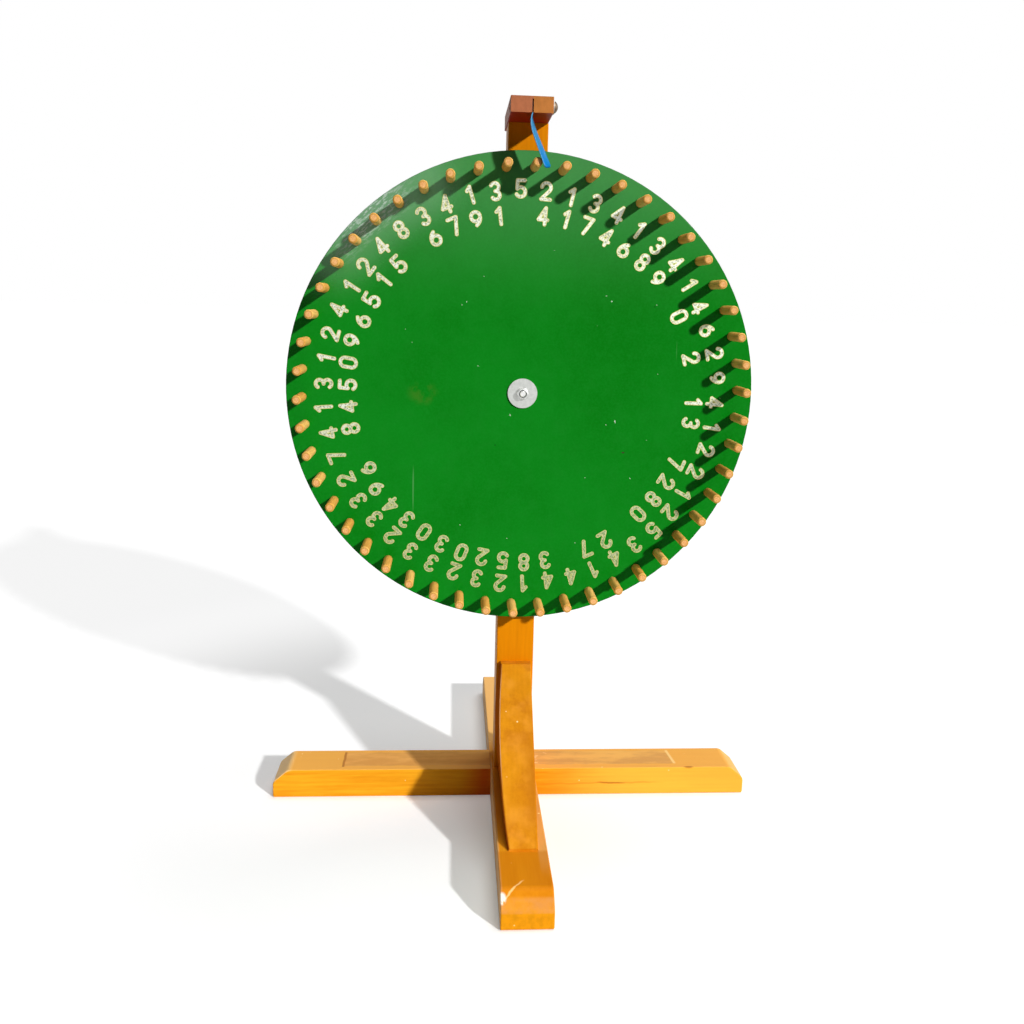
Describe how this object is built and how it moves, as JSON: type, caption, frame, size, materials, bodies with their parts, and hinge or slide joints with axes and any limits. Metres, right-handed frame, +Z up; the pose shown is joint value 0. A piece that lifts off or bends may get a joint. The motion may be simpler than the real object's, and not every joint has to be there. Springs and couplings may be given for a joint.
{
  "type": "carnival number wheel",
  "caption": "Upright spinning number wheel with a ring of pegs and a flexible clicker strip, on a wooden post with a cross-shaped base and a sloping brace.",
  "frame": {"origin": "on the floor, under the middle of the post and of the crossed base bars", "axes": "+X to the right of a player who faces the numbers, +Y away from the player through the wheel towards the back, +Z up the post"},
  "size_m": [0.656, 0.658, 0.915],
  "materials": {
    "bar_wood": "golden varnish, worn and scarred on top",
    "post_wood": "orange varnish",
    "head_wood": "pinkish brown varnish",
    "plated_steel": "dull zinc plate",
    "nut_plastic": "dark moulded",
    "strip_plastic": "smooth blue",
    "green_board": "gloss green enamel, scratched",
    "bush_brass": "turned",
    "peg_wood": "clear varnish",
    "digit_foil": "pale gold foil, rubbed"
  },
  "bodies": {
    "stand": {"cross_bar": "bar_wood", "foot_bar": "bar_wood", "post": "post_wood", "front_brace": "post_wood", "coach_screw": "plated_steel", "coach_washer": "plated_steel", "left_head_cheek": "head_wood", "right_head_cheek": "head_wood", "head_screws": "plated_steel", "clamp_bolt": "plated_steel", "clamp_washer": "plated_steel", "clamp_nut": "plated_steel", "clamp_nut_washer": "plated_steel", "axle_bolt": "plated_steel", "rear_washer": "plated_steel", "spacer_washer": "plated_steel", "front_washer": "plated_steel", "lock_nut": "plated_steel", "lock_nut_ring": "nut_plastic"},
    "wheel": {"wheel_board": "green_board", "hub_bush": "bush_brass", "pegs": "peg_wood", "outer_digits": "digit_foil", "inner_digits": "digit_foil"},
    "pointer": {"pointer_strip": "strip_plastic"}
  },
  "joints": [
    {"name": "wheel_spin", "type": "hinge", "parent": "stand", "child": "wheel", "pos_m": [0, -0.0329, 0.562], "axis": [0, 1, 0], "continuous": true},
    {"name": "pointer_flex", "type": "hinge", "parent": "stand", "child": "pointer", "pos_m": [0, -0.0797, 0.8965], "axis": [0, 1, 0], "range_deg": [-20, 60], "stiffness_Nm_per_rad": 0.05, "deforming": ["pointer_strip"]}
  ]
}
